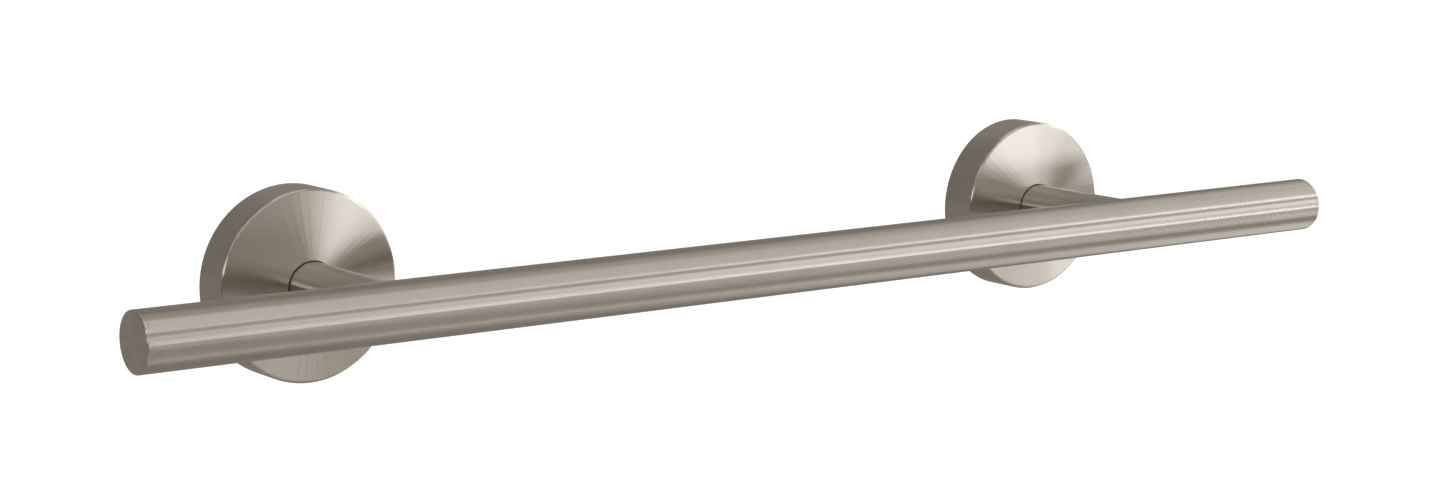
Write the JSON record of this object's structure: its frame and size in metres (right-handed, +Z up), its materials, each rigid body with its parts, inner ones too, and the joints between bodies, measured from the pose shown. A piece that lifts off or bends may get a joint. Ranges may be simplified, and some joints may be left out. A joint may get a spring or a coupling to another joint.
{
  "type": "grab bar",
  "caption": "Straight round grab bar that overhangs past its posts, with round wall covers that slide out to reach the screws.",
  "frame": {"origin": "on the wall plane, midway between the two posts, at the centre of the four wall screw holes", "axes": "+X along the bar, +Y into the wall, +Z up"},
  "size_m": [0.635, 0.1047, 0.0834],
  "materials": {
    "satin_steel": "warm satin nickel over stainless steel, brushed round the posts and along the bar",
    "plate_steel": "plain machined steel, hidden behind the covers",
    "screw_steel": "black oxide",
    "grip_rubber": "smooth black rubber cord"
  },
  "bodies": {
    "fixed_bar": {"bar_tube": "satin_steel", "left_end_cap": "satin_steel", "left_post": "satin_steel", "left_wall_plate": "plate_steel", "left_grip_ring": "grip_rubber", "left_post_screw": "screw_steel", "right_end_cap": "satin_steel", "right_post": "satin_steel", "right_wall_plate": "plate_steel", "right_grip_ring": "grip_rubber", "right_post_screw": "screw_steel"},
    "left_sliding_cover": {"left_cover": "satin_steel"},
    "right_sliding_cover": {"right_cover": "satin_steel"}
  },
  "joints": [
    {"name": "left_cover_slide", "type": "slide", "parent": "fixed_bar", "child": "left_sliding_cover", "axis": [0, -1, 0], "range_m": [0, 0.05]},
    {"name": "right_cover_slide", "type": "slide", "parent": "fixed_bar", "child": "right_sliding_cover", "axis": [0, -1, 0], "range_m": [0, 0.05]}
  ]
}
